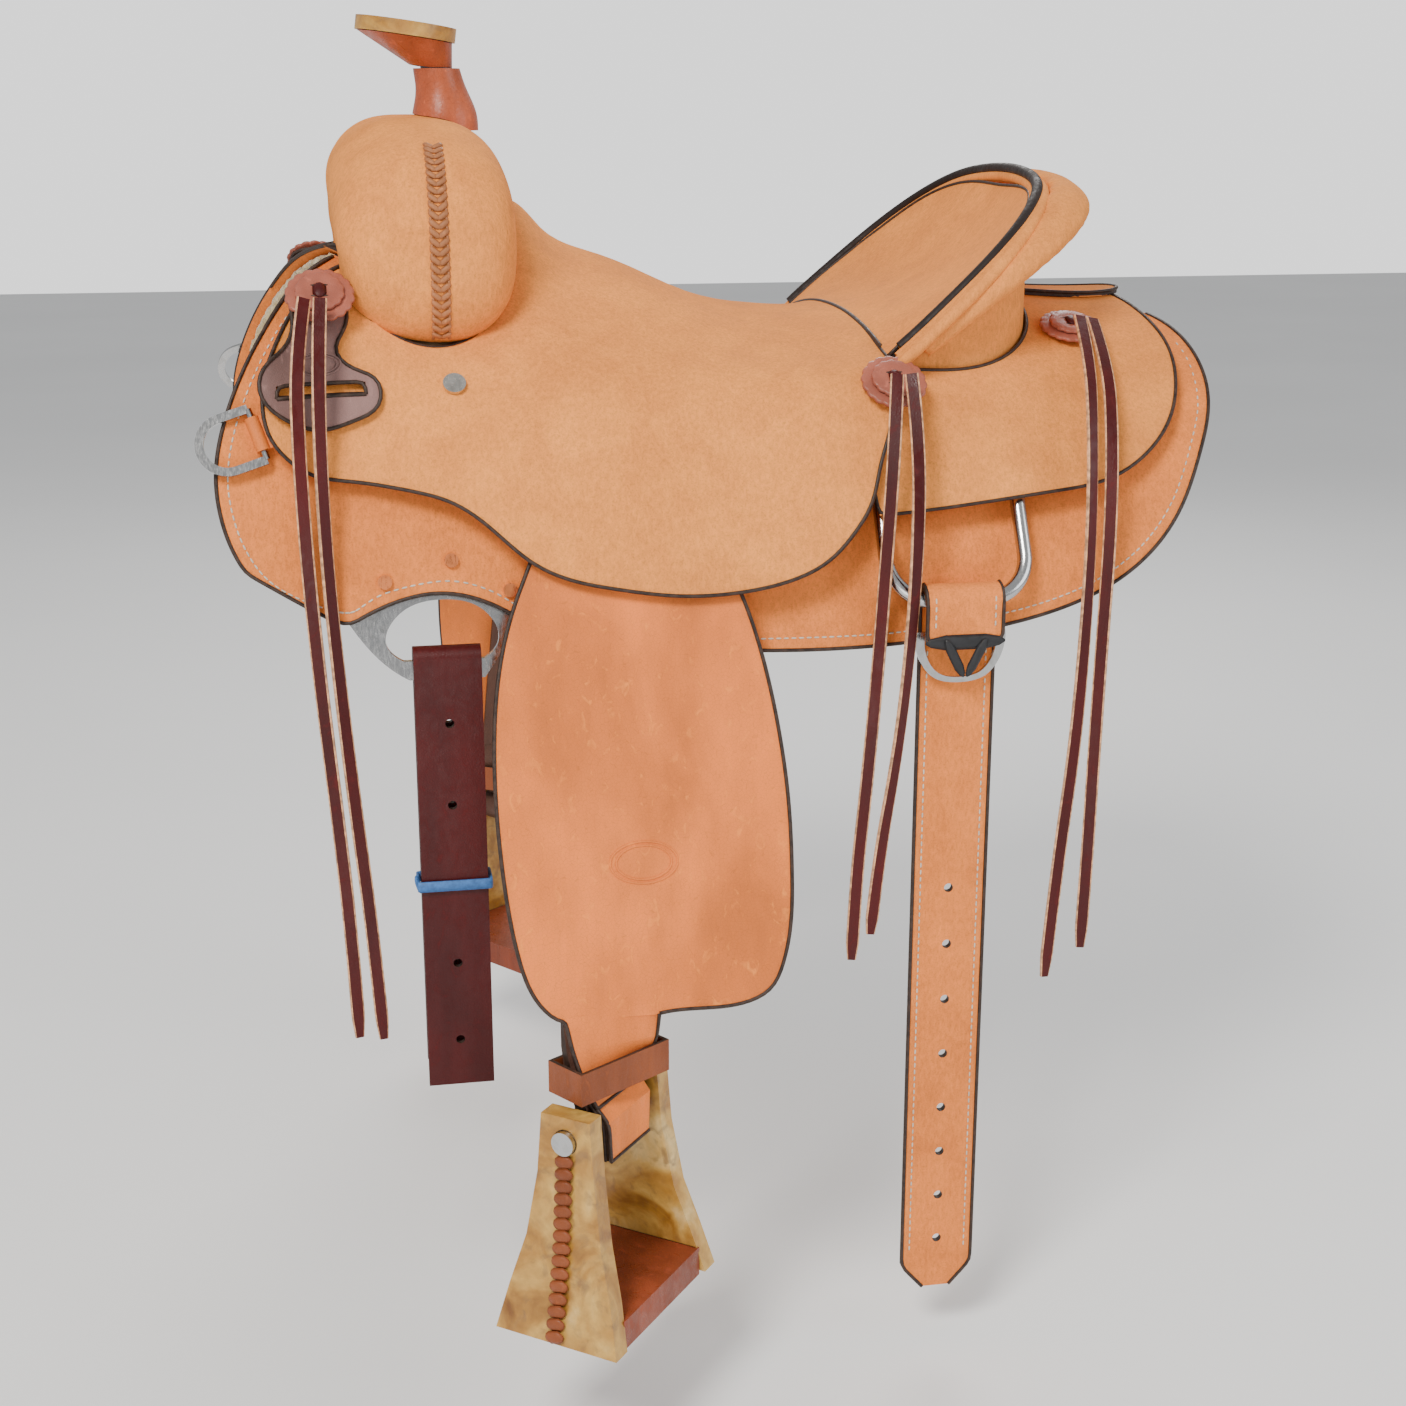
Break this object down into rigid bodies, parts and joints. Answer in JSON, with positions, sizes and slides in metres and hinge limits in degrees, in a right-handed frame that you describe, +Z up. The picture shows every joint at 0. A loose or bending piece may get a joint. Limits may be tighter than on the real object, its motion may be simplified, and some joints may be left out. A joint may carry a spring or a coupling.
{
  "type": "western saddle",
  "caption": "Western ranch saddle with rough-out seat and skirts, wrapped horn, rolled cantle, hung fenders and rawhide bell stirrups, rigged front and rear",
  "frame": {"origin": "on the centre plane at the level of the back line, below the deepest part of the seat", "axes": "+X to the horse's head, +Y to the near (left) side, +Z up"},
  "size_m": [0.704, 0.78, 0.8958],
  "materials": {
    "black_binding": "smooth",
    "brown_leather": "smooth",
    "burgundy_leather": "oiled latigo",
    "copper": "copper rivet",
    "dark_leather": "smooth",
    "fender_leather": "smooth oiled",
    "horn_steel": "cast",
    "mauve_leather": "smooth",
    "nickel": "polished nickel",
    "rawhide": "glossy varnished rawhide",
    "rough_seat": "rough-out nap",
    "rough_skirt": "rough-out nap",
    "sheepskin": "curly fleece",
    "stainless": "worn satin",
    "tread_leather": "worn smooth",
    "wood": "plain"
  },
  "bodies": {
    "saddle": {"cantle_back": "rough_seat", "cantle_binding": "black_binding", "cheyenne_roll": "rough_seat", "front_string_a": "burgundy_leather", "front_string_b": "burgundy_leather", "ground_seat": "dark_leather", "horn_cap_cover": "tread_leather", "horn_cap_rim": "rawhide", "horn_core": "horn_steel", "horn_neck_wrap": "tread_leather", "keeper_plate_left": "mauve_leather", "keeper_plate_right": "mauve_leather", "mid_string_a": "burgundy_leather", "mid_string_b": "burgundy_leather", "rear_dee_left": "stainless", "rear_dee_right": "stainless", "rear_jockey_left": "rough_seat", "rear_jockey_right": "rough_seat", "rear_string_a": "burgundy_leather", "rear_string_b": "burgundy_leather", "rigging_plate_left": "stainless", "rigging_plate_right": "stainless", "rigging_rivets": "copper", "rigging_tabs": "fender_leather", "rosettes": "mauve_leather", "seat": "rough_seat", "seat_screws": "nickel", "sheepskin_lining": "sheepskin", "skirt_left": "rough_skirt", "skirt_right": "rough_skirt", "spine_plate": "rough_seat", "swell_cover": "rough_seat", "tree_bars": "wood", "tree_cantle": "wood", "tree_fork": "wood"},
    "fender_swing_left": {"stirrup_leather_left": "dark_leather", "fender_left": "fender_leather", "hobble_strap_left": "brown_leather"},
    "fender_swing_right": {"stirrup_leather_right": "dark_leather", "fender_right": "fender_leather", "hobble_strap_right": "brown_leather"},
    "stirrup_left": {"stirrup_frame_left": "wood", "stirrup_rawhide_left": "rawhide", "stirrup_tread_left": "tread_leather", "stirrup_lacing_left": "brown_leather", "stirrup_bolt_left": "stainless"},
    "stirrup_right": {"stirrup_frame_right": "wood", "stirrup_rawhide_right": "rawhide", "stirrup_tread_right": "tread_leather", "stirrup_lacing_right": "brown_leather", "stirrup_bolt_right": "stainless"},
    "rear_billet_left": {"rear_billet_left": "rough_skirt"},
    "billet_ring_left": {"billet_ring_left": "stainless"},
    "breast_dee_left": {"breast_dee_left": "stainless"},
    "breast_dee_right": {"breast_dee_right": "stainless"},
    "tie_strap_left": {"tie_strap_left": "burgundy_leather"}
  },
  "joints": [
    {"name": "fender_swing_left", "type": "hinge", "parent": "saddle", "child": "fender_swing_left", "pos_m": [0.088, 0.19862, -0.062], "axis": [0, 0.9409, 0.3387], "range_deg": [-18, 8]},
    {"name": "stirrup_turn_left", "type": "hinge", "parent": "fender_swing_left", "child": "stirrup_left", "pos_m": [0.122, 0.30822, -0.474], "axis": [0.6157, 0.788, 0], "range_deg": [-14, 14]},
    {"name": "billet_swing_left", "type": "hinge", "parent": "saddle", "child": "rear_billet_left", "pos_m": [-0.13, 0.242, -0.157], "axis": [1, 0, 0], "range_deg": [0, 60]},
    {"name": "ring_swing_left", "type": "hinge", "parent": "rear_billet_left", "child": "billet_ring_left", "pos_m": [-0.13, 0.242, -0.1805], "axis": [1, 0, 0], "range_deg": [0, 45]},
    {"name": "breast_dee_swing_left", "type": "hinge", "parent": "saddle", "child": "breast_dee_left", "pos_m": [0.323, 0.20165, -0.04015], "axis": [0.3121, -0.3121, 0.8973], "range_deg": [0, 40]},
    {"name": "tie_strap_swing", "type": "hinge", "parent": "saddle", "child": "tie_strap_left", "pos_m": [0.2105, 0.222, -0.193], "axis": [1, 0, 0], "range_deg": [0, 40]},
    {"name": "fender_swing_right", "type": "hinge", "parent": "saddle", "child": "fender_swing_right", "pos_m": [0.088, -0.19862, -0.062], "axis": [0, 0.9409, -0.3387], "range_deg": [-18, 8]},
    {"name": "stirrup_turn_right", "type": "hinge", "parent": "fender_swing_right", "child": "stirrup_right", "pos_m": [0.122, -0.30822, -0.474], "axis": [0.6157, -0.788, 0], "range_deg": [-14, 14]},
    {"name": "breast_dee_swing_right", "type": "hinge", "parent": "saddle", "child": "breast_dee_right", "pos_m": [0.323, -0.20165, -0.04015], "axis": [-0.3121, -0.3121, -0.8973], "range_deg": [0, 40]}
  ]
}
